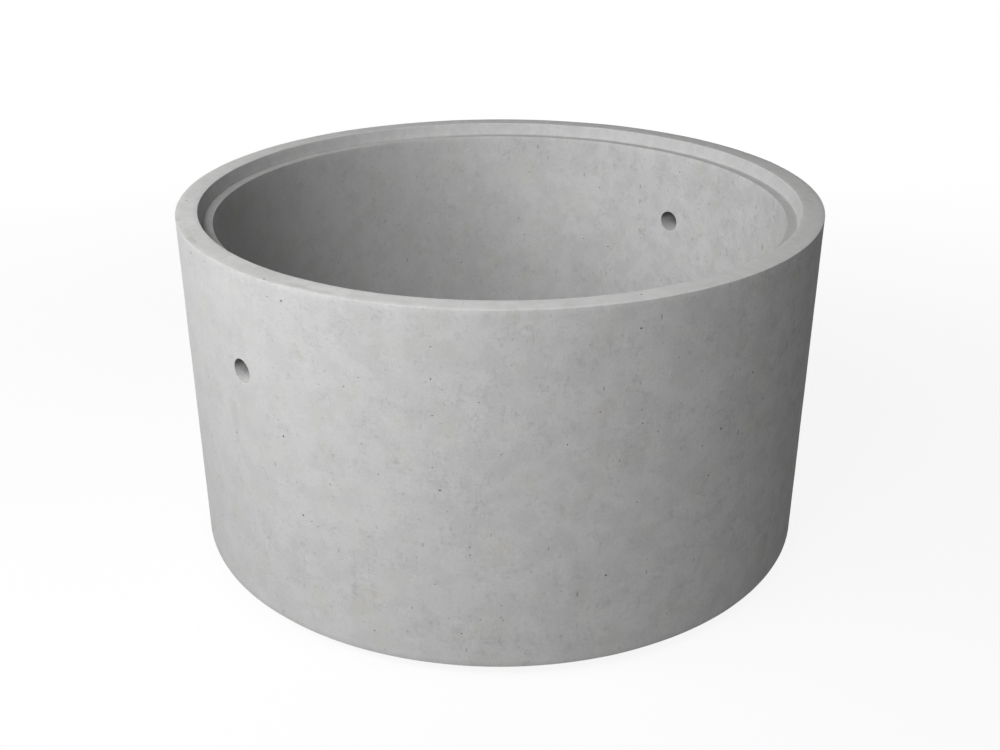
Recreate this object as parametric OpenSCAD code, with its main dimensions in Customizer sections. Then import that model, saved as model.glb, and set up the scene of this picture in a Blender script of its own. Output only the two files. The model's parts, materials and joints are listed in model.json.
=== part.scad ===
// Precast concrete culvert ring: one cast piece with a rebate in its rim, a spigot under its foot
// that fits the rebate of the ring below, and two sling holes opposite each other.
// Z is the ring's axis, X runs through both sling holes, and z = 0 is the tip of the spigot.

/* [Ring] */
// Clear diameter of the bore
bore_d = 1500; // [1000:10:2000]
// Thickness of the wall
wall_t = 90; // [80:1:150]
// Laying height, from the shoulder at the foot up to the rim
laying_h = 900; // [600:10:1200]
// Chamfer on the outer edges of the casting
arris = 3; // [1:0.5:5]

/* [Rebated joint] */
// Depth of the rebate, from the rim down to its ledge
rebate_depth = 35; // [25:1:60]
// Width of the ledge at the bottom of the rebate
ledge_w = 25; // [20:1:35]
// How far the rebate's wall leans outwards from the ledge up to the rim
rebate_draft = 10; // [2:1:15]
// Room for mortar between a spigot and the rebate that it stands in
joint_gap = 5; // [2:0.5:8]

/* [Sling holes] */
// Diameter of the sling holes
sling_hole_d = 60; // [40:1:80]
// Distance from the rim down to the axis of the sling holes
sling_hole_drop = 250; // [150:5:400]

/* [Hidden] */

// Radii of the plain wall
bore_r = bore_d / 2;
outer_r = bore_r + wall_t;

// Radii of the rebate, at its ledge and at its mouth in the rim
ledge_r = bore_r + ledge_w;
mouth_r = ledge_r + rebate_draft;

// The spigot is the rebate's shape, smaller by the mortar's room
spigot_h = rebate_depth - joint_gap;
spigot_root_r = mouth_r - joint_gap;
spigot_tip_r = spigot_root_r - lean(spigot_h);

// Heights above the tip of the spigot
shoulder_z = spigot_h;
rim_z = shoulder_z + laying_h;
ledge_z = rim_z - rebate_depth;
sling_hole_z = rim_z - sling_hole_drop;

// How far a cut runs past the face that it opens
overrun = 20;
// Facets of a full turn in the preview
turn_facets = 180;

// How far the joint's leaning wall moves outwards over a rise
function lean(rise) = rebate_draft * rise / rebate_depth;

// Half of the ring's section, from the spigot's inner edge round to the bore
module wall_section() {
    polygon([
        [bore_r + arris, 0],
        [spigot_tip_r - arris, 0],
        [spigot_tip_r + lean(arris), arris],
        [spigot_root_r, shoulder_z],
        [outer_r - arris, shoulder_z],
        [outer_r, shoulder_z + arris],
        [outer_r, rim_z - arris],
        [outer_r - arris, rim_z],
        [mouth_r + arris, rim_z],
        [mouth_r - lean(arris), rim_z - arris],
        [ledge_r, ledge_z],
        [bore_r + arris, ledge_z],
        [bore_r, ledge_z - arris],
        [bore_r, arris]
    ]);
}

// One straight cut through both sides of the wall
module sling_hole_cut() {
    translate([0, 0, sling_hole_z])
        rotate([0, 90, 0])
            cylinder(d = sling_hole_d, h = 2 * (outer_r + overrun), center = true, $fn = turn_facets);
}

module concrete_ring() {
    color("lightgray")
        difference() {
            rotate_extrude($fn = turn_facets)
                wall_section();
            sling_hole_cut();
        }
}

concrete_ring();
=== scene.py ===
"""A precast concrete ring with a rebated rim, dressed around its CAD part.

The ring is one casting: its section is spun round the Z axis, the sling holes are opened through the
wall along X, air pores are sunk into the faces, and the whole casting is left slightly uneven. The
bore, the outer wall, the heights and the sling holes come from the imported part.
"""

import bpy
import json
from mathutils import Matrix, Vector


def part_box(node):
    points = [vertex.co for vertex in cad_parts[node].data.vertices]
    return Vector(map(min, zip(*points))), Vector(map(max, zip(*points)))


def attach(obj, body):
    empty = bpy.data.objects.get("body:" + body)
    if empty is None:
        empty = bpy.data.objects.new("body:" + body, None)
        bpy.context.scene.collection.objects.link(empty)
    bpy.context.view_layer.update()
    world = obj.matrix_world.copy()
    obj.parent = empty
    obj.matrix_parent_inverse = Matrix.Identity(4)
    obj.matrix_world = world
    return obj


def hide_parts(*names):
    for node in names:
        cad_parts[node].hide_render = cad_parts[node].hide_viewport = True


bl_info = {
    "name": "Concrete culvert ring",
    "version": (1, 0, 0),
    "blender": (4, 5, 0),
    "location": "View3D > Sidebar > Ring",
    "description": "Casts a rebated concrete ring and sets a pale studio round it",
    "category": "Object",
}

import json
import random
from math import atan2, cos, hypot, pi, radians, sin, sqrt

import bmesh
import bpy
from bpy.props import FloatProperty, FloatVectorProperty, IntProperty, PointerProperty
from mathutils import Matrix, Vector, noise

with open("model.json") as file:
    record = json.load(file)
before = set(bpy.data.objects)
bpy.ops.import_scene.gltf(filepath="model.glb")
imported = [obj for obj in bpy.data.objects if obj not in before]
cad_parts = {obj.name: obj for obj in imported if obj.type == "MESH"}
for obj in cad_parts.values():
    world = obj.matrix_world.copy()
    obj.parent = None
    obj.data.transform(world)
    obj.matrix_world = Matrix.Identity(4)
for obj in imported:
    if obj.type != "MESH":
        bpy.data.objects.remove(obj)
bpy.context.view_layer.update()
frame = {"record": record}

NODE = "concrete_ring"
MOUNTS = {mount["name"]: mount for mount in frame["record"]["mounts"]}
RING_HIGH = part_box(NODE)[1]
MM = 0.001

# Material slots of the ring
WALL, JOINT, HOLE, PORE = range(4)

# How far a face's middle may lie from a wall's radius or a level and still belong to it
ON_WALL = 0.0008

# Heights above a sling hole's axis between which painted shade darkens its lining, in hole radii
CROWN_SHADE_LOW, CROWN_SHADE_HIGH = -0.2, 0.5

# Points of the spun quarters that lie closer than this are one point
SAME_POINT = 5e-5

# Edges sharper than this are drawn sharp
SHARP_EDGE = radians(20)

# Half width of the patch that a sling hole's mouth is cut from, and of the wall kept free of pores
# round it, in hole radii
PATCH_REACH = 1.45
PORE_FREE_REACH = 2.2

# Width of the border without pores along a wall's edges, in mesh steps
PORE_FREE_BORDER = 1.5

# Chance of a pore in a face: its middle value, its swing, and the swing's waves in a metre
PORE_ODDS, PORE_ODDS_SWING, PORE_ODDS_WAVES = 0.55, 0.9, 6

# Factor on that chance at the bore's foot, and how far it falls up to the ledge
BORE_FOOT_ODDS, BORE_ODDS_FALL = 1.5, 1.2

# Number of pore sizes, and the power that makes small ones far more common than large ones
PORE_GRADES = 5
PORE_GRADE_POWER = 1.9

# How far a pore may lie from its face's middle, in mesh steps
PORE_SHIFT = 0.2

# Least and most that a pore's mouth is drawn longer and made wider
PORE_LONGER = (0.95, 1.35)
PORE_WIDER = (0.75, 1.05)

# Steps of a pore's lining, inwards and down, in pore radii
PORE_STEPS = ((0.22, 0.75), (0.38, 0.35))

# Waves in a metre of the walls' broad and fine stray and of the rim's, and two places apart in the noise
BROAD_STRAY, FINE_STRAY, LEVEL_STRAY = 7, 19, 9
OTHER_WALL = Vector((0, 0, 40))
OTHER_LEVEL = Vector((30, 0, 0))

# Sockets of a colour Mix node
MIX_AMOUNT, MIX_FIRST, MIX_SECOND, MIX_RESULT = 0, 6, 7, 2

WHITE = (1, 1, 1, 1)


def mount_radius(name):
    """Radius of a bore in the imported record."""
    return MOUNTS[name]["dims"]["r_mm"] * MM


def mount_height(name):
    """Height of a mount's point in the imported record."""
    return MOUNTS[name]["pos_m"][2]


def length(name, description, default, **options):
    """A length in metres."""
    return FloatProperty(
        name=name, description=description, default=default, min=0, unit="LENGTH", precision=4, **options
    )


def angle(name, description, degrees):
    """An angle, given here in degrees."""
    return FloatProperty(name=name, description=description, default=radians(degrees), subtype="ANGLE")


def share(name, description, default):
    """A part of one."""
    return FloatProperty(
        name=name, description=description, default=default, min=0, max=1, subtype="FACTOR"
    )


def power(name, description, default):
    """A lamp's power in watts."""
    return FloatProperty(name=name, description=description, default=default, min=0, unit="POWER")


def colour(name, description, default):
    """A linear colour."""
    return FloatVectorProperty(
        name=name, description=description, default=default, min=0, max=1, size=3, subtype="COLOR"
    )


def count(name, description, default):
    """A whole number of things."""
    return IntProperty(name=name, description=description, default=default, min=0)


class RingSizes(bpy.types.PropertyGroup):
    """Sizes of the casting."""

    bore_radius: length("Bore radius", "Radius of the clear bore", mount_radius("shaft"))
    outer_radius: length("Outer radius", "Radius of the outer wall", RING_HIGH.x)
    rim_height: length("Rim height", "Height of the rim", RING_HIGH.z)
    ledge_height: length("Ledge height", "Height of the ledge in the rebate", mount_height("rebate_ledge"))
    shoulder_height: length(
        "Shoulder height", "Height of the shoulder above the spigot's tip", mount_height("foot_shoulder")
    )
    ledge_width: length("Ledge width", "Width of the ledge in the rebate", 0.025)
    rebate_lean: length("Rebate lean", "How far the rebate's wall leans out up to the rim", 0.010)
    joint_gap: length("Joint gap", "Room for mortar round the spigot", 0.005)
    arris: length("Arris", "Rounding of the casting's outer edges", 0.0013)
    root: length("Root", "Rounding where the ledge or the shoulder meets a leaning wall", 0.001)
    hole_radius: length("Hole radius", "Radius of the sling holes", mount_radius("sling_hole_left"))
    hole_height: length("Hole height", "Height of the sling holes' axis", mount_height("sling_hole_left"))
    hole_arris: length("Hole arris", "Rounding of the sling holes' mouths", 0.001)
    mesh_step: length("Mesh step", "Size of the faces on the walls", 0.014)
    unevenness: length("Unevenness", "How far the casting strays from its true shape", 0.0005)


class AirPores(bpy.types.PropertyGroup):
    """Air pores that stand open in the faces."""

    wall_count: count("Outer wall", "Pores in the outer wall", 165)
    bore_count: count("Bore", "Pores in the bore", 170)
    rim_count: count("Rim", "Pores in the rim", 8)
    smallest: length("Smallest", "Radius of the smallest pores", 0.0011)
    largest: length("Largest", "Radius of the largest pores", 0.0028)
    seed: count("Seed", "Start of the random places", 7)


class ConcreteFinish(bpy.types.PropertyGroup):
    """Colours and roughness of the concrete."""

    wall_colour: colour("Wall", "Colour of the mould-cast walls", (0.600, 0.601, 0.602))
    # The rim's colour, lighter than the wall's, is painted light on its upward face
    rim_light_colour: colour("Rim", "Colour of the rim", (0.652, 0.652, 0.647))
    # The ledge's darker colour is painted shade in the rebate's recess
    ledge_shade_colour: colour(
        "Ledge", "Colour of the ledge in the rebate, where damp and dust lie", (0.490, 0.490, 0.486)
    )
    rebate_colour: colour("Rebate", "Colour of the rebate's wall and of the foot", (0.588, 0.589, 0.590))
    warm_colour: colour("Warm cast", "Colour of the patches with more sand in them", (0.596, 0.588, 0.556))
    smudge_colour: colour("Smudge", "Colour of smudges", (0.420, 0.412, 0.385))
    hole_colour: colour("Hole", "Colour inside the sling holes", (0.580, 0.578, 0.574))
    # The crown colour is painted shade in the upper half of the sling holes
    crown_shade_colour: colour("Hole crown", "Colour in the upper half of the holes", (0.175, 0.174, 0.172))
    # The pore colour is painted shade inside the pores
    pore_shade_colour: colour("Pore", "Colour inside the pores", (0.275, 0.272, 0.267))
    roughness: share("Roughness", "Roughness of the concrete", 0.86)
    specular: share("Specular", "Level of the plain reflection", 0.25)
    # The side whose marks are drawn strongest is the side the lamps graze, as painted shade of the relief
    grazed_side_turn: angle(
        "Weather side", "Direction from the axis of the side that shows its marks most", 310
    )


class StudioSettings(bpy.types.PropertyGroup):
    """Camera, lamps and floor."""

    camera_turn: angle("Camera turn", "Turn of the camera round the ring's axis", -45)
    camera_pitch: angle("Camera pitch", "How far the camera looks down", 25)
    camera_distance: length("Camera distance", "Level distance from the ring's axis", 3.1145)
    camera_height: length("Camera height", "Height above the floor", 1.8457)
    camera_view: angle("Camera view", "Level angle of view", 45)
    high_key: power("High key", "Power of the main lamp, high to the left of the camera", 145.0)
    side_key: power("Side key", "Power of the lamp further to the left", 115.0)
    fill: power("Fill", "Power of the weak lamp behind the camera", 27.0)
    low_fill: power("Low fill", "Power of the low lamp in front, which hardly reaches the bore", 34.0)
    back_right: power("Back right", "Power of the low lamp behind the ring on the right", 85.0)
    back_left: power("Back left", "Power of the low lamp behind the ring on the left", 58.0)
    ambient: share("Ambient", "Level of the light from all round", 0.003)
    floor_colour: colour("Floor", "Colour of the floor where it is seen", (0.95, 0.95, 0.95))
    floor_bounce: colour(
        "Floor bounce", "Colour of the light that the floor throws back", (0.20, 0.20, 0.20)
    )
    floor_white: share("Floor white", "Share of plain white in the floor near the ring", 0.90)


# Each lamp's name, its turn round the ring and its rise in degrees, its distance and its width. The
# back lamps stay below the rim, so they don't shine on the rim, the rebate or, past the holes, the bore.
LAMPS = [
    ("high_key", -75, 45, 5.0, 2.6),
    ("side_key", -115, 30, 5.0, 2.6),
    ("fill", -45, 20, 6.0, 2.5),
    ("low_fill", -20, 3, 6.0, 1.2),
    ("back_right", 112, -3, 5.0, 0.4),
    ("back_left", 168, -3, 5.0, 0.4),
]
LAMP_AIM = Vector((0, 0, 0.5))

# Half width of the floor, and the distances from the ring between which it fades to white
FLOOR_REACH = 25
FADE_START, FADE_END = 1.2, 5.0


def section_corners(sizes):
    """Corners of the wall's section, as (radius, height, rounding).

    They run from the bore's foot, by the spigot, the outer wall and the rim, to the ledge.
    """
    ledge_radius = sizes.bore_radius + sizes.ledge_width
    mouth_radius = ledge_radius + sizes.rebate_lean
    slope = sizes.rebate_lean / (sizes.rim_height - sizes.ledge_height)
    spigot_root = mouth_radius - sizes.joint_gap
    spigot_tip = spigot_root - slope * sizes.shoulder_height
    return [
        (sizes.bore_radius, 0, sizes.arris),
        (spigot_tip, 0, sizes.arris),
        (spigot_root, sizes.shoulder_height, sizes.root),
        (sizes.outer_radius, sizes.shoulder_height, sizes.arris),
        (sizes.outer_radius, sizes.rim_height, sizes.arris),
        (mouth_radius, sizes.rim_height, sizes.arris),
        (ledge_radius, sizes.ledge_height, sizes.root),
        (sizes.bore_radius, sizes.ledge_height, sizes.arris),
    ]


def face_radius(face):
    """Distance of a face's middle from the ring's axis."""
    middle = face.calc_center_median()
    return hypot(middle.x, middle.y)


def on_wall(face, radius):
    """Whether a face belongs to the wall of this radius."""
    return abs(face_radius(face) - radius) < ON_WALL


def ring_order(point):
    """A sorting key by height, radius and direction.

    The order of a bmesh's own elements differs from run to run, so random draws follow this one.
    """
    return round(point.z, 3), round(hypot(point.x, point.y), 3), atan2(point.y, point.x)


def bevel(bm, geom, affect, offset, segments):
    """Bevel points or edges, and return the new faces."""
    made = bmesh.ops.bevel(
        bm, geom=geom, affect=affect, offset=offset, segments=segments, profile=0.5, material=-1
    )
    return made["faces"]


def spin_section(bm, sizes):
    """Round the section's corners, divide its long sides and spin it into a ring."""
    corners = section_corners(sizes)
    verts = [bm.verts.new((radius, 0, height)) for radius, height, _ in corners]
    bm.faces.new(verts)
    for rounding in (sizes.arris, sizes.root):
        rounded = [vert for vert, corner in zip(verts, corners) if corner[2] == rounding]
        bevel(bm, rounded, "VERTICES", rounding, 3)
    bmesh.ops.delete(bm, geom=bm.faces[:], context="FACES_ONLY")
    for edge in bm.edges[:]:
        cuts = round(edge.calc_length() / sizes.mesh_step) - 1
        if cuts > 0:
            bmesh.ops.subdivide_edges(bm, edges=[edge], cuts=cuts)
    # A quarter is spun and then doubled twice, which is many times quicker than one full spin
    steps = round(pi / 2 * sizes.outer_radius / sizes.mesh_step)
    bmesh.ops.spin(bm, geom=bm.verts[:] + bm.edges[:], axis=(0, 0, 1), angle=pi / 2, steps=steps)
    for turn in (pi / 2, pi):
        copied = bmesh.ops.duplicate(bm, geom=bm.verts[:] + bm.edges[:] + bm.faces[:])["geom"]
        turned = [part for part in copied if isinstance(part, bmesh.types.BMVert)]
        bmesh.ops.rotate(bm, cent=(0, 0, 0), matrix=Matrix.Rotation(turn, 3, "Z"), verts=turned)
    bmesh.ops.remove_doubles(bm, verts=bm.verts[:], dist=SAME_POINT)
    bmesh.ops.recalc_face_normals(bm, faces=bm.faces[:])
    walls = (sizes.outer_radius, sizes.bore_radius)
    for face in bm.faces:
        face.material_index = WALL if any(on_wall(face, wall) for wall in walls) else JOINT


def open_mouth(bm, sizes, side, wall):
    """Open the round mouth of a sling hole in the wall of this radius, and return its edges."""
    reach = PATCH_REACH * sizes.hole_radius
    patch = []
    for face in bm.faces:
        middle = face.calc_center_median()
        beside = abs(middle.y) < reach and abs(middle.z - sizes.hole_height) < reach
        if side * middle.x > 0 and beside and on_wall(face, wall):
            patch.append(face)
    (whole,) = bmesh.ops.dissolve_faces(bm, faces=patch, use_verts=True)["region"]
    (hub,) = bmesh.ops.poke(bm, faces=[whole])["verts"]
    hub.co = (side * wall, 0, sizes.hole_height)
    (mouth,) = bevel(bm, [hub], "VERTICES", sizes.hole_radius, 1)
    bmesh.ops.bisect_edges(bm, edges=mouth.edges[:], cuts=1)
    edges = mouth.edges[:]
    for vert in mouth.verts:
        around = Vector((0, vert.co.y, vert.co.z - sizes.hole_height)).normalized() * sizes.hole_radius
        vert.co = (side * sqrt(wall**2 - around.y**2), around.y, sizes.hole_height + around.z)
    bmesh.ops.delete(bm, geom=[mouth], context="FACES_ONLY")
    return edges


def open_sling_holes(bm, sizes):
    """Cut both sling holes through the wall, round their mouths and line them."""
    for side in (-1, 1):
        mouths = [open_mouth(bm, sizes, side, wall) for wall in (sizes.outer_radius, sizes.bore_radius)]
        edges = mouths[0] + mouths[1]
        bmesh.ops.bridge_loops(bm, edges=edges)
        bevel(bm, edges, "EDGES", sizes.hole_arris, 2)
    bmesh.ops.recalc_face_normals(bm, faces=bm.faces[:])
    lining_radius = sizes.hole_radius + 0.2 * sizes.hole_arris
    for face in bm.faces:
        middle = face.calc_center_median()
        if hypot(middle.y, middle.z - sizes.hole_height) < lining_radius:
            face.material_index = HOLE


def pore_faces(bm, sizes):
    """Faces that may get a pore, in the outer wall, the bore and the rim."""
    clear = PORE_FREE_REACH * sizes.hole_radius
    border = PORE_FREE_BORDER * sizes.mesh_step

    def plain(face, low, high):
        middle = face.calc_center_median()
        off_hole = hypot(middle.y, middle.z - sizes.hole_height) > clear
        return len(face.verts) == 4 and off_hole and low + border < middle.z < high - border

    wall, bore, rim = [], [], []
    for face in bm.faces:
        off_rim = abs(face.calc_center_median().z - sizes.rim_height)
        if on_wall(face, sizes.outer_radius) and plain(face, sizes.shoulder_height, sizes.rim_height):
            wall.append(face)
        elif on_wall(face, sizes.bore_radius) and plain(face, 0, sizes.ledge_height):
            bore.append(face)
        elif face.normal.z > 0.99 and off_rim < ON_WALL and face.calc_area() > 0.5 * sizes.mesh_step**2:
            rim.append(face)
    return wall, bore, rim


def pore_sites(bm, sizes, pores, rng):
    """Faces that get a pore, none beside another: the outer wall, the bore and the rim in turn."""
    wall, bore, rim = pore_faces(bm, sizes)
    taken, sites = set(), []
    for faces, wanted in ((wall, pores.wall_count), (bore, pores.bore_count), (rim, pores.rim_count)):
        faces.sort(key=lambda face: ring_order(face.calc_center_median()))
        rng.shuffle(faces)
        left = wanted
        for face in faces:
            middle = face.calc_center_median()
            # Pores gather in loose clusters, and there are more of them low in the bore
            odds = PORE_ODDS + PORE_ODDS_SWING * noise.noise(middle * PORE_ODDS_WAVES)
            if faces is bore:
                odds *= BORE_FOOT_ODDS - BORE_ODDS_FALL * middle.z / sizes.ledge_height
            if left and rng.random() < odds and not any(vert in taken for vert in face.verts):
                taken.update(face.verts)
                sites.append(face)
                left -= 1
    return sites


def grade_hubs(hubs, sizes, rng):
    """Move each pore's hub a little off its face's middle, and sort the hubs into sizes."""
    graded = [[] for _ in range(PORE_GRADES)]
    for hub in hubs:
        tangent = hub.normal.orthogonal().normalized()
        turned = Matrix.Rotation(rng.uniform(0, 2 * pi), 3, hub.normal) @ tangent
        hub.co += turned * rng.uniform(0, PORE_SHIFT * sizes.mesh_step)
        grade = int(PORE_GRADES * rng.random() ** PORE_GRADE_POWER)
        graded[min(grade, PORE_GRADES - 1)].append(hub)
    return graded


def sink_pores(bm, sizes, pores):
    """Sink round air pores of several sizes into the faces."""
    rng = random.Random(pores.seed)
    sites = pore_sites(bm, sizes, pores, rng)
    bmesh.ops.bisect_edges(bm, edges=list({edge: 0 for face in sites for edge in face.edges}), cuts=1)
    hubs = sorted(bmesh.ops.poke(bm, faces=sites)["verts"], key=lambda hub: ring_order(hub.co))
    for grade, group in enumerate(grade_hubs(hubs, sizes, rng)):
        if not group:
            continue
        radius = pores.smallest + (pores.largest - pores.smallest) * grade / (PORE_GRADES - 1)
        mouths = bevel(bm, group, "VERTICES", radius, 1)
        for mouth in sorted(mouths, key=lambda mouth: mouth.calc_center_median().z):
            middle = mouth.calc_center_median()
            along = Matrix.Rotation(rng.uniform(0, pi), 3, mouth.normal) @ mouth.normal.orthogonal()
            longer = Matrix.Scale(rng.uniform(*PORE_LONGER), 3, along)
            wider = rng.uniform(*PORE_WIDER)
            for vert in mouth.verts:
                vert.co = middle + longer @ (vert.co - middle) * wider
        lining = mouths[:]
        for inset, depth in PORE_STEPS:
            lining += bmesh.ops.inset_individual(
                bm, faces=mouths, thickness=inset * radius, depth=-depth * radius, use_even_offset=True
            )["faces"]
        for face in lining:
            face.material_index = PORE


def leave_uneven(bm, sizes):
    """Let the casting stray a little: its walls out of round and its rim out of level."""
    thickness = sizes.outer_radius - sizes.bore_radius
    for vert in bm.verts:
        radius = hypot(vert.co.x, vert.co.y)
        outward = Vector((vert.co.x, vert.co.y, 0)) / radius
        across = min(max((radius - sizes.bore_radius) / thickness, 0), 1)
        at = vert.co.copy()
        bore_stray = noise.noise(at * BROAD_STRAY + OTHER_WALL) + 0.5 * noise.noise(at * FINE_STRAY)
        wall_stray = noise.noise(at * BROAD_STRAY) + 0.5 * noise.noise(at * FINE_STRAY + OTHER_WALL)
        level_stray = noise.noise(at * LEVEL_STRAY + OTHER_LEVEL)
        up = vert.co.z / sizes.rim_height
        vert.co += outward * sizes.unevenness * ((1 - across) * bore_stray + across * wall_stray)
        vert.co.z += sizes.unevenness * level_stray * up**4


def fill_inputs(tree, node, inputs):
    """Link or set a node's inputs."""
    for key, value in inputs.items():
        if isinstance(value, bpy.types.NodeSocket):
            tree.links.new(value, node.inputs[key])
        else:
            node.inputs[key].default_value = value


def add_node(tree, kind, label="", inputs=None, **settings):
    """Add a node, set it up, and link or set its inputs."""
    node = tree.nodes.new(kind)
    node.label = label
    for key, value in settings.items():
        setattr(node, key, value)
    fill_inputs(tree, node, inputs or {})
    return node


def maths(tree, operation, *values, label="", clamp=False):
    """A Math node's result."""
    node = add_node(
        tree, "ShaderNodeMath", label, dict(enumerate(values)), operation=operation, use_clamp=clamp
    )
    return node.outputs[0]


def vector_maths(tree, operation, *values, label=""):
    """The outputs of a Vector Math node."""
    node = add_node(tree, "ShaderNodeVectorMath", label, dict(enumerate(values)), operation=operation)
    return node.outputs


def remap(tree, value, low, high, to_low=0.0, to_high=1.0, label=""):
    """A value spread smoothly from one range to another, and held at its ends."""
    inputs = {"Value": value, "From Min": low, "From Max": high, "To Min": to_low, "To Max": to_high}
    return add_node(tree, "ShaderNodeMapRange", label, inputs, interpolation_type="SMOOTHSTEP").outputs[0]


def mix_colours(tree, amount, first, second, blend="MIX", label=""):
    """Two colours mixed by an amount."""
    inputs = {MIX_AMOUNT: amount, MIX_FIRST: first, MIX_SECOND: second}
    node = add_node(tree, "ShaderNodeMix", label, inputs, data_type="RGBA", blend_type=blend)
    return node.outputs[MIX_RESULT]


def noise_value(tree, vector, scale, detail=2.0, roughness=0.5, label=""):
    """The value of a noise texture, 0 to 1."""
    inputs = {"Vector": vector, "Scale": scale, "Detail": detail, "Roughness": roughness}
    return add_node(tree, "ShaderNodeTexNoise", label, inputs).outputs["Fac"]


def stretch_vector(tree, vector, factors, label=""):
    """A vector multiplied by three factors."""
    return vector_maths(tree, "MULTIPLY", vector, factors, label=label)[0]


def new_group(name, inputs, outputs):
    """A node group with a Vector and these values, its given sockets and its result's sockets."""
    tree = bpy.data.node_groups.new(name, "ShaderNodeTree")
    tree.interface.new_socket("Vector", in_out="INPUT", socket_type="NodeSocketVector")
    for label, default in inputs.items():
        socket = tree.interface.new_socket(label, in_out="INPUT", socket_type="NodeSocketFloat")
        socket.default_value = default
    for label in outputs:
        tree.interface.new_socket(label, in_out="OUTPUT", socket_type="NodeSocketFloat")
    given = tree.nodes.new("NodeGroupInput").outputs
    result = tree.nodes.new("NodeGroupOutput").inputs
    return tree, given, result


def cement_clouds():
    """Soft patches of lighter, darker and sandier cement."""
    tree, given, result = new_group("Cement clouds", {"Scale": 6.0}, ["Tone", "Patch", "Warmth"])
    broad = noise_value(tree, given["Vector"], given["Scale"], 3, 0.55, "Broad clouds")
    tree.links.new(remap(tree, broad, 0.3, 0.7, -1, 1, "Tone"), result["Tone"])
    finer = maths(tree, "MULTIPLY", given["Scale"], 3.2)
    plates = noise_value(tree, given["Vector"], finer, 2.5, 0.6, "Plates")
    tree.links.new(remap(tree, plates, 0.4, 0.6, -1, 1, "Patch"), result["Patch"])
    aside = vector_maths(tree, "ADD", given["Vector"], (3.1, 1.7, 5.3), label="Another place")[0]
    between = maths(tree, "MULTIPLY", given["Scale"], 2.0)
    sandy = noise_value(tree, aside, between, 3, 0.6, "Sandy patches")
    tree.links.new(remap(tree, sandy, 0.5, 0.7, 0, 1, "Warmth"), result["Warmth"])
    return tree


def mould_marks():
    """Short smears and specks that the mould leaves as it is drawn off."""
    tree, given, result = new_group(
        "Mould marks", {"Width": 0.007, "Height": 0.022, "Spread": 0.0}, ["Light", "Dark"]
    )
    across = maths(tree, "DIVIDE", 1, given["Width"])
    along = maths(tree, "DIVIDE", 1, given["Height"])
    factors = add_node(tree, "ShaderNodeCombineXYZ", "Stretch", {0: across, 1: across, 2: along}).outputs[0]
    drawn = stretch_vector(tree, given["Vector"], factors, "Drawn out")
    smear = noise_value(tree, drawn, 1.0, 1.0, 0.5, "Smears")
    where = noise_value(tree, given["Vector"], 15.0, 2, 0.5, "Where they gather")
    lean = maths(tree, "MULTIPLY_ADD", maths(tree, "SUBTRACT", where, 0.5), 0.35, given["Spread"])
    dark = remap(tree, maths(tree, "ADD", smear, lean), 0.64, 0.74, label="Dark")
    light = remap(tree, maths(tree, "SUBTRACT", smear, lean), 0.35, 0.25, label="Light")
    tree.links.new(dark, result["Dark"])
    tree.links.new(light, result["Light"])
    return tree


def fine_pores():
    """Pores too small to be modelled: dots of varied size, in some cells of a cell pattern."""
    tree, given, result = new_group(
        "Fine pores", {"Spacing": 0.014, "Radius": 0.0016, "Share": 0.1}, ["Pore"]
    )
    scale = maths(tree, "DIVIDE", 1, given["Spacing"])
    cells = add_node(tree, "ShaderNodeTexVoronoi", "Cells", {"Vector": given["Vector"], "Scale": scale})
    away = maths(tree, "MULTIPLY", cells.outputs["Distance"], given["Spacing"], label="Distance")
    picks = add_node(tree, "ShaderNodeSeparateColor", "Picks", {0: cells.outputs["Color"]}).outputs
    varied = maths(tree, "ADD", picks[1], 0.4)
    radius = maths(tree, "MULTIPLY", given["Radius"], varied, label="Radius here")
    inner = maths(tree, "MULTIPLY", radius, 0.45)
    dot = remap(tree, away, radius, inner, 0, 1, "Dot")
    chosen = maths(tree, "LESS_THAN", picks[0], given["Share"], label="Chosen")
    tree.links.new(maths(tree, "MULTIPLY", dot, chosen), result["Pore"])
    return tree


def sand_grain():
    """The sandy skin of the concrete."""
    tree, given, result = new_group("Sand grain", {"Scale": 520.0}, ["Grain", "Fleck"])
    grain = noise_value(tree, given["Vector"], given["Scale"], 2, 0.6, "Grain")
    tree.links.new(remap(tree, grain, 0.3, 0.7, -1, 1), result["Grain"])
    coarse = maths(tree, "MULTIPLY", given["Scale"], 0.32)
    fleck = noise_value(tree, given["Vector"], coarse, 1.5, 0.5, "Flecks")
    tree.links.new(remap(tree, fleck, 0.36, 0.64, -1, 1), result["Fleck"])
    return tree


def smudge_spot():
    """One soft, broken spot of unit size round the vector's origin."""
    tree, given, result = new_group("Smudge spot", {"Break up": 0.6}, ["Smudge"])
    round_spot = add_node(
        tree, "ShaderNodeTexGradient", "Spot", {"Vector": given["Vector"]}, gradient_type="SPHERICAL"
    ).outputs["Fac"]
    ragged = noise_value(tree, given["Vector"], 2.6, 4, 0.6, "Ragged")
    off = maths(tree, "MULTIPLY", maths(tree, "SUBTRACT", ragged, 0.5), given["Break up"])
    inside = remap(tree, round_spot, 0, 0.15)
    shifted = maths(tree, "ADD", round_spot, maths(tree, "MULTIPLY", off, inside))
    tree.links.new(remap(tree, shifted, 0.04, 0.6), result["Smudge"])
    return tree


def place_group(tree, group, label, **inputs):
    """The outputs of a node group placed in a material."""
    node = add_node(tree, "ShaderNodeGroup", label, node_tree=group)
    fill_inputs(tree, node, {key.replace("_", " "): value for key, value in inputs.items()})
    return node.outputs


def summed(tree, *terms):
    """The sum of values, each with its weight."""
    total = None
    for value, weight in terms:
        part = maths(tree, "MULTIPLY", value, weight)
        total = part if total is None else maths(tree, "ADD", total, part)
    return total


def rgba(values):
    """A colour with full opacity."""
    return (*values, 1)


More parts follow.
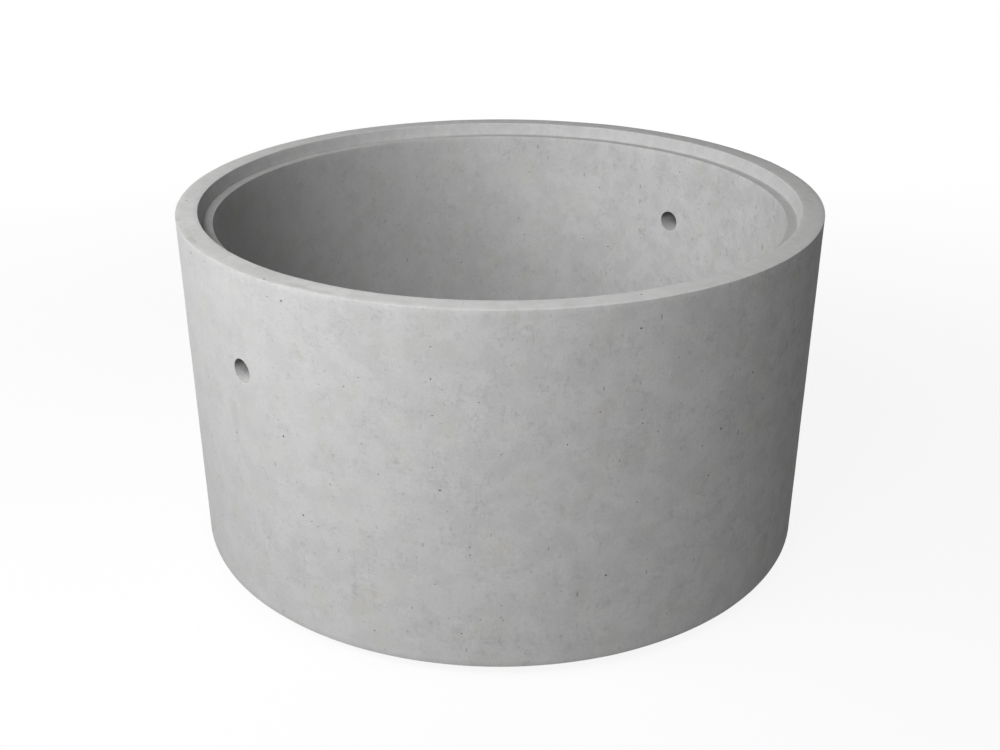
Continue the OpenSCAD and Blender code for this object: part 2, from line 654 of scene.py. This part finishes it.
def start_material(name, finish):
    """A material with its concrete shader, its node tree and the coordinates of the ring."""
    material = bpy.data.materials.new(name)
    material.use_nodes = True
    tree = material.node_tree
    shader = tree.nodes["Principled BSDF"]
    shader.inputs["Specular IOR Level"].default_value = finish.specular
    shader.inputs["Roughness"].default_value = finish.roughness
    coords = add_node(tree, "ShaderNodeTexCoord", "Ring coordinates").outputs["Object"]
    return material, tree, shader, coords


def join_surface(tree, shader, colour_out, height, roughness):
    """Feed a colour, a roughness and a relief in millimetres to the shader."""
    bump = add_node(tree, "ShaderNodeBump", "Relief", {"Strength": 1, "Distance": MM, "Height": height})
    tree.links.new(colour_out, shader.inputs["Base Color"])
    tree.links.new(roughness, shader.inputs["Roughness"])
    tree.links.new(bump.outputs["Normal"], shader.inputs["Normal"])


# Smudges on the rim and the outer wall: direction in degrees, radius, height, half sizes outwards, round
# the ring and up, and strength
RIM_SMUDGES = [
    (163.4, 0.829, 0.930, 0.014, 0.050, 0.02, 0.55),
    (167.0, 0.812, 0.930, 0.050, 0.230, 0.02, 0.22),
    (185.0, 0.816, 0.930, 0.045, 0.200, 0.02, 0.26),
    (182.6, 0.818, 0.930, 0.014, 0.070, 0.02, 0.26),
    (193.0, 0.824, 0.930, 0.013, 0.060, 0.02, 0.44),
    (198.0, 0.826, 0.930, 0.012, 0.050, 0.02, 0.30),
    (203.7, 0.814, 0.930, 0.014, 0.040, 0.02, 0.20),
    (210.2, 0.817, 0.930, 0.014, 0.035, 0.02, 0.20),
    (151.5, 0.836, 0.930, 0.010, 0.030, 0.02, 0.34),
]
WALL_SMUDGES = [
    (176.5, 0.840, 0.545, 0.03, 0.024, 0.085, 0.20),
]


def spots(tree, group, coords, places):
    """The strongest of several smudges at these places."""
    total = None
    for turn, radius, height, radial, around, upright, strength in places:
        place = {
            "Vector": coords,
            "Location": (radius * cos(radians(turn)), radius * sin(radians(turn)), height),
            "Rotation": (0, 0, radians(turn)),
            "Scale": (radial, around, upright),
        }
        local = add_node(tree, "ShaderNodeMapping", "Smudge's place", place, vector_type="TEXTURE").outputs[0]
        spot = place_group(tree, group, "", Vector=local, Break_up=1.2)["Smudge"]
        mask = maths(tree, "MULTIPLY", spot, strength)
        total = mask if total is None else maths(tree, "MAXIMUM", total, mask)
    return total


def uneven_roughness(tree, clouds, finish):
    """The concrete's roughness, a little higher in its lighter clouds."""
    return maths(tree, "ADD", maths(tree, "MULTIPLY", clouds["Tone"], 0.04), finish.roughness)


def wall_material(finish, groups, radius):
    """Concrete that lay against the mould: clouds, smears, nicks and pores."""
    material, tree, shader, coords = start_material("mould_cast_concrete", finish)

    def mark(kind, label, vector=coords, **measures):
        return place_group(tree, groups[kind], label, Vector=vector, **measures)

    clouds = mark("clouds", "Clouds", Scale=5.5)
    ticks = mark("marks", "Upright smears", Width=0.0065, Height=0.024, Spread=-0.02)
    strokes = mark("marks", "Level smears", Width=0.028, Height=0.0075)
    specks = mark("marks", "Specks", Width=0.010, Height=0.012)
    blots = mark("marks", "Blots", Width=0.021, Height=0.024, Spread=0.02)
    dots = mark("pores", "Fine pores", Spacing=0.016, Radius=0.0022, Share=0.08)
    tall = stretch_vector(tree, coords, (1, 1, 0.38), "Drawn upwards")
    upright = mark("pores", "Upright nicks", tall, Spacing=0.019, Radius=0.0028, Share=0.10)
    wide = stretch_vector(tree, coords, (0.45, 0.45, 1.1), "Drawn level")
    level = mark("pores", "Level nicks", wide, Spacing=0.017, Radius=0.0021, Share=0.06)
    faint = mark("pores", "Faint spots", Spacing=0.026, Radius=0.0048, Share=0.20)
    pale = mark("pores", "Pale flecks", Spacing=0.0215, Radius=0.0026, Share=0.05)
    sand = mark("grain", "Sand", Scale=520.0)
    smudges = spots(tree, groups["smudge"], coords, WALL_SMUDGES)
    sandy = maths(tree, "MULTIPLY", clouds["Warmth"], 0.6)
    tinted = mix_colours(
        tree, sandy, rgba(finish.wall_colour), rgba(finish.warm_colour), label="Sandy tint"
    )
    # How much lighter or darker each mark makes the wall, in parts of its tone
    change = summed(
        tree,
        (clouds["Tone"], 0.022),
        (clouds["Patch"], 0.024),
        (ticks["Light"], 0.02),
        (ticks["Dark"], -0.06),
        (strokes["Light"], 0.02),
        (strokes["Dark"], -0.04),
        (specks["Light"], 0.02),
        (specks["Dark"], -0.055),
        (blots["Light"], 0.025),
        (blots["Dark"], -0.045),
        (upright["Pore"], -0.24),
        (level["Pore"], -0.16),
        (faint["Pore"], -0.10),
        (pale["Pore"], 0.08),
        (sand["Grain"], 0.02),
        (sand["Fleck"], 0.015),
    )
    # The marks are drawn strongest on the side that the lamps graze: painted shade standing in for the
    # relief's shading there
    grazed_side = (cos(finish.grazed_side_turn) / radius, sin(finish.grazed_side_turn) / radius, 0)
    side = vector_maths(tree, "DOT_PRODUCT", coords, grazed_side, label="Weather side")["Value"]
    grazed_contrast = maths(tree, "MULTIPLY_ADD", side, 0.385, 1.19, label="Wear")
    shade = maths(tree, "MULTIPLY_ADD", change, grazed_contrast, 1)
    toned = mix_colours(tree, 1, tinted, shade, "MULTIPLY", "Tone")
    marked = mix_colours(tree, smudges, toned, rgba(finish.smudge_colour), label="Run mark")
    # Fine pores are darkened toward the pore colour, as painted shade in them
    shown = maths(tree, "MULTIPLY", dots["Pore"], 0.74)
    dotted = mix_colours(tree, shown, marked, rgba(finish.pore_shade_colour), label="Pores")
    # The relief of each mark in millimetres
    height = summed(
        tree,
        (dots["Pore"], -0.8),
        (upright["Pore"], -0.35),
        (level["Pore"], -0.25),
        (ticks["Dark"], -0.10),
        (strokes["Dark"], -0.10),
        (specks["Dark"], -0.12),
        (blots["Dark"], -0.15),
        (sand["Grain"], 0.03),
        (sand["Fleck"], 0.04),
    )
    join_surface(tree, shader, dotted, height, uneven_roughness(tree, clouds, finish))
    return material


def at_height(tree, coords, height, label):
    """One within a millimetre of this height on the ring, and nought from three millimetres on."""
    up = add_node(tree, "ShaderNodeSeparateXYZ", "Up", {0: coords}).outputs["Z"]
    off = maths(tree, "ABSOLUTE", maths(tree, "SUBTRACT", up, height))
    return remap(tree, off, 3 * MM, MM, 0, 1, label)


def joint_material(finish, groups, sizes):
    """Concrete of the rim, the rebate and the foot: closer, smoothed, with smudges; its rim is lighter, as
    painted light, and its ledge darker, as painted shade.
    """
    material, tree, shader, coords = start_material("rim_concrete", finish)

    def mark(kind, label, **measures):
        return place_group(tree, groups[kind], label, Vector=coords, **measures)

    clouds = mark("clouds", "Clouds", Scale=11.0)
    dots = mark("pores", "Fine pores", Spacing=0.014, Radius=0.0013, Share=0.05)
    sand = mark("grain", "Sand", Scale=600.0)
    smudges = spots(tree, groups["smudge"], coords, RIM_SMUDGES)
    # The rim is made lighter as painted light, and the ledge darker as painted shade
    rim_light_mask = at_height(tree, coords, sizes.rim_height, "On the rim")
    ledge_shade_mask = at_height(tree, coords, sizes.ledge_height, "On the ledge")
    plain = mix_colours(tree, rim_light_mask, rgba(finish.rebate_colour), rgba(finish.rim_light_colour), label="Rim")
    plain = mix_colours(tree, ledge_shade_mask, plain, rgba(finish.ledge_shade_colour), label="Ledge")
    sandy = maths(tree, "MULTIPLY", clouds["Warmth"], 0.4)
    tinted = mix_colours(tree, sandy, plain, rgba(finish.warm_colour), label="Sandy tint")
    change = summed(
        tree,
        (clouds["Tone"], 0.02),
        (clouds["Patch"], 0.028),
        (sand["Grain"], 0.02),
        (sand["Fleck"], 0.015),
    )
    toned = mix_colours(tree, 1, tinted, maths(tree, "ADD", change, 1), "MULTIPLY", "Tone")
    marked = mix_colours(tree, smudges, toned, rgba(finish.smudge_colour), label="Smudges")
    # Fine pores are darkened toward the pore colour, as painted shade in them
    shown = maths(tree, "MULTIPLY", dots["Pore"], 0.86)
    dotted = mix_colours(tree, shown, marked, rgba(finish.pore_shade_colour), label="Pores")
    height = summed(tree, (dots["Pore"], -0.6), (sand["Grain"], 0.04), (sand["Fleck"], 0.05))
    join_surface(tree, shader, dotted, height, uneven_roughness(tree, clouds, finish))
    return material


def lining_material(name, tone, finish, groups, crown=None):
    """The dull inside of an open pore or a sling hole. A pore's dark colour is painted shade.

    A crown is a second, darker colour, painted shade in a hole's upper part, with the heights between which
    it takes over.
    """
    material, tree, shader, coords = start_material(name, finish)
    base = rgba(tone)
    if crown:
        crown_shade_tone, low, high = crown
        up = add_node(tree, "ShaderNodeSeparateXYZ", "Up", {0: coords}).outputs["Z"]
        crown_shade_mask = remap(tree, up, low, high, label="Crown")
        base = mix_colours(tree, crown_shade_mask, base, rgba(crown_shade_tone), label="Crown")
    sand = place_group(tree, groups["grain"], "Sand", Vector=coords, Scale=700.0)
    change = maths(tree, "ADD", maths(tree, "MULTIPLY", sand["Fleck"], 0.06), 1)
    toned = mix_colours(tree, 1, base, change, "MULTIPLY", "Tone")
    rough = maths(tree, "ADD", maths(tree, "MULTIPLY", sand["Grain"], 0.03), 0.95)
    join_surface(tree, shader, toned, maths(tree, "MULTIPLY", sand["Grain"], 0.05), rough)
    return material


class RING_OT_cast(bpy.types.Operator):
    """Cast the concrete ring in the place of its CAD node"""

    bl_idname = "concrete_ring.cast"
    bl_label = "Cast the ring"

    def execute(self, context):
        sizes = context.scene.ring_sizes
        finish = context.scene.concrete_finish
        bm = bmesh.new()
        spin_section(bm, sizes)
        open_sling_holes(bm, sizes)
        sink_pores(bm, sizes, context.scene.air_pores)
        leave_uneven(bm, sizes)
        for face in bm.faces:
            face.smooth = True
        mesh = bpy.data.meshes.new("cast_ring")
        bm.to_mesh(mesh)
        bm.free()
        mesh.set_sharp_from_angle(angle=SHARP_EDGE)
        groups = {
            "clouds": cement_clouds(),
            "marks": mould_marks(),
            "pores": fine_pores(),
            "grain": sand_grain(),
            "smudge": smudge_spot(),
        }
        mesh.materials.append(wall_material(finish, groups, sizes.outer_radius))
        mesh.materials.append(joint_material(finish, groups, sizes))
        # The crown of each hole's lining is painted shade
        fade = [sizes.hole_height + reach * sizes.hole_radius for reach in (CROWN_SHADE_LOW, CROWN_SHADE_HIGH)]
        crown = (finish.crown_shade_colour, *fade)
        mesh.materials.append(lining_material("hole_lining", finish.hole_colour, finish, groups, crown))
        # The pores' lining colour is painted shade
        mesh.materials.append(lining_material("pore_lining", finish.pore_shade_colour, finish, groups))
        ring = bpy.data.objects.new("cast_ring", mesh)
        context.scene.collection.objects.link(ring)
        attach(ring, "root")
        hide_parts(NODE)
        return {"FINISHED"}


def seen_or_mirrored(tree):
    """One where a ray comes from the camera, a reflection or clear material, and nought in other light."""
    path = add_node(tree, "ShaderNodeLightPath", "Kind of ray").outputs
    mirrored = maths(tree, "MAXIMUM", path["Is Glossy Ray"], path["Is Transmission Ray"])
    return maths(tree, "MAXIMUM", path["Is Camera Ray"], mirrored)


def floor_material(studio):
    """A pale floor that fades to white away from the ring and keeps its shadow."""
    material = bpy.data.materials.new("pale_floor")
    material.use_nodes = True
    tree = material.node_tree
    tree.nodes.clear()
    coords = add_node(tree, "ShaderNodeTexCoord", "Floor coordinates").outputs["Object"]
    away = vector_maths(tree, "LENGTH", coords, label="Distance")["Value"]
    white = remap(tree, away, FADE_START, FADE_END, studio.floor_white, 1, "White share")
    seen = seen_or_mirrored(tree)
    amount = maths(tree, "MULTIPLY", white, seen)
    tone = mix_colours(tree, seen, rgba(studio.floor_bounce), rgba(studio.floor_colour), label="Tone")
    matt = add_node(tree, "ShaderNodeBsdfDiffuse", "Matt floor", {"Color": tone}).outputs[0]
    plain = add_node(tree, "ShaderNodeEmission", "Plain white", {"Color": WHITE, "Strength": 1}).outputs[0]
    both = add_node(tree, "ShaderNodeMixShader", "Floor", {0: amount, 1: matt, 2: plain}).outputs[0]
    add_node(tree, "ShaderNodeOutputMaterial", "Output", {"Surface": both})
    return material


def set_world(scene, studio):
    """White where it is seen, and a low even light elsewhere."""
    world = bpy.data.worlds.new("pale_studio")
    scene.world = world
    world.use_nodes = True
    tree = world.node_tree
    tree.nodes.clear()
    low = rgba([studio.ambient] * 3)
    soft = add_node(tree, "ShaderNodeBackground", "Ambient", {"Color": low, "Strength": 1}).outputs[0]
    plain = add_node(tree, "ShaderNodeBackground", "Plain white", {"Color": WHITE, "Strength": 1}).outputs[0]
    seen = seen_or_mirrored(tree)
    both = add_node(tree, "ShaderNodeMixShader", "World", {0: seen, 1: soft, 2: plain}).outputs[0]
    add_node(tree, "ShaderNodeOutputWorld", "Output", {"Surface": both})


def hang_lamp(scene, name, watts, turn, rise, away, size):
    """A soft square lamp at an angle round the ring and above the floor, in degrees, aimed at the ring."""
    level = cos(radians(rise))
    towards = Vector((sin(radians(turn)) * level, -cos(radians(turn)) * level, sin(radians(rise))))
    data = bpy.data.lights.new(name, "AREA")
    data.energy = watts
    data.size = size
    lamp = bpy.data.objects.new(name, data)
    lamp.location = LAMP_AIM + towards * away
    lamp.rotation_euler = towards.to_track_quat("Z", "Y").to_euler()
    scene.collection.objects.link(lamp)


def set_camera(scene, studio):
    """The camera at the photograph's viewing angle."""
    data = bpy.data.cameras.new("camera")
    data.sensor_width = 36
    data.angle = studio.camera_view
    camera = bpy.data.objects.new("camera", data)
    turn = studio.camera_turn
    camera.location = (
        sin(turn) * studio.camera_distance,
        -cos(turn) * studio.camera_distance,
        studio.camera_height,
    )
    camera.rotation_euler = (pi / 2 - studio.camera_pitch, 0, turn)
    scene.collection.objects.link(camera)
    scene.camera = camera


class RING_OT_set_stage(bpy.types.Operator):
    """Set the floor, the lamps, the world and the camera"""

    bl_idname = "concrete_ring.set_stage"
    bl_label = "Set the stage"

    def execute(self, context):
        scene = context.scene
        studio = scene.ring_studio
        bm = bmesh.new()
        bmesh.ops.create_grid(bm, x_segments=1, y_segments=1, size=FLOOR_REACH)
        mesh = bpy.data.meshes.new("floor")
        bm.to_mesh(mesh)
        bm.free()
        mesh.materials.append(floor_material(studio))
        floor = bpy.data.objects.new("floor", mesh)
        scene.collection.objects.link(floor)
        set_world(scene, studio)
        for name, turn, rise, away, size in LAMPS:
            hang_lamp(scene, name, getattr(studio, name), turn, rise, away, size)
        set_camera(scene, studio)
        scene.view_settings.view_transform = "Standard"
        return {"FINISHED"}


class RING_PT_panel(bpy.types.Panel):
    """The ring's steps and settings"""

    bl_idname = "RING_PT_panel"
    bl_label = "Concrete ring"
    bl_space_type = "VIEW_3D"
    bl_region_type = "UI"
    bl_category = "Ring"

    def draw(self, context):
        layout = self.layout
        scene = context.scene
        for operator, groups in (
            (RING_OT_cast, (scene.ring_sizes, scene.air_pores, scene.concrete_finish)),
            (RING_OT_set_stage, (scene.ring_studio,)),
        ):
            layout.operator(operator.bl_idname)
            for group in groups:
                box = layout.box()
                for name in group.__annotations__:
                    box.prop(group, name)


GROUPS = {
    "ring_sizes": RingSizes,
    "air_pores": AirPores,
    "concrete_finish": ConcreteFinish,
    "ring_studio": StudioSettings,
}
CLASSES = (*GROUPS.values(), RING_OT_cast, RING_OT_set_stage, RING_PT_panel)


def register():
    """Register the classes and hang the settings on the scene."""
    for cls in CLASSES:
        bpy.utils.register_class(cls)
    for name, group in GROUPS.items():
        setattr(bpy.types.Scene, name, PointerProperty(type=group))


def unregister():
    """Take the settings and the classes away again."""
    for name in GROUPS:
        delattr(bpy.types.Scene, name)
    for cls in reversed(CLASSES):
        bpy.utils.unregister_class(cls)


def main():
    register()
    bpy.ops.concrete_ring.cast()
    bpy.ops.concrete_ring.set_stage()


if __name__ == "__main__":
    main()
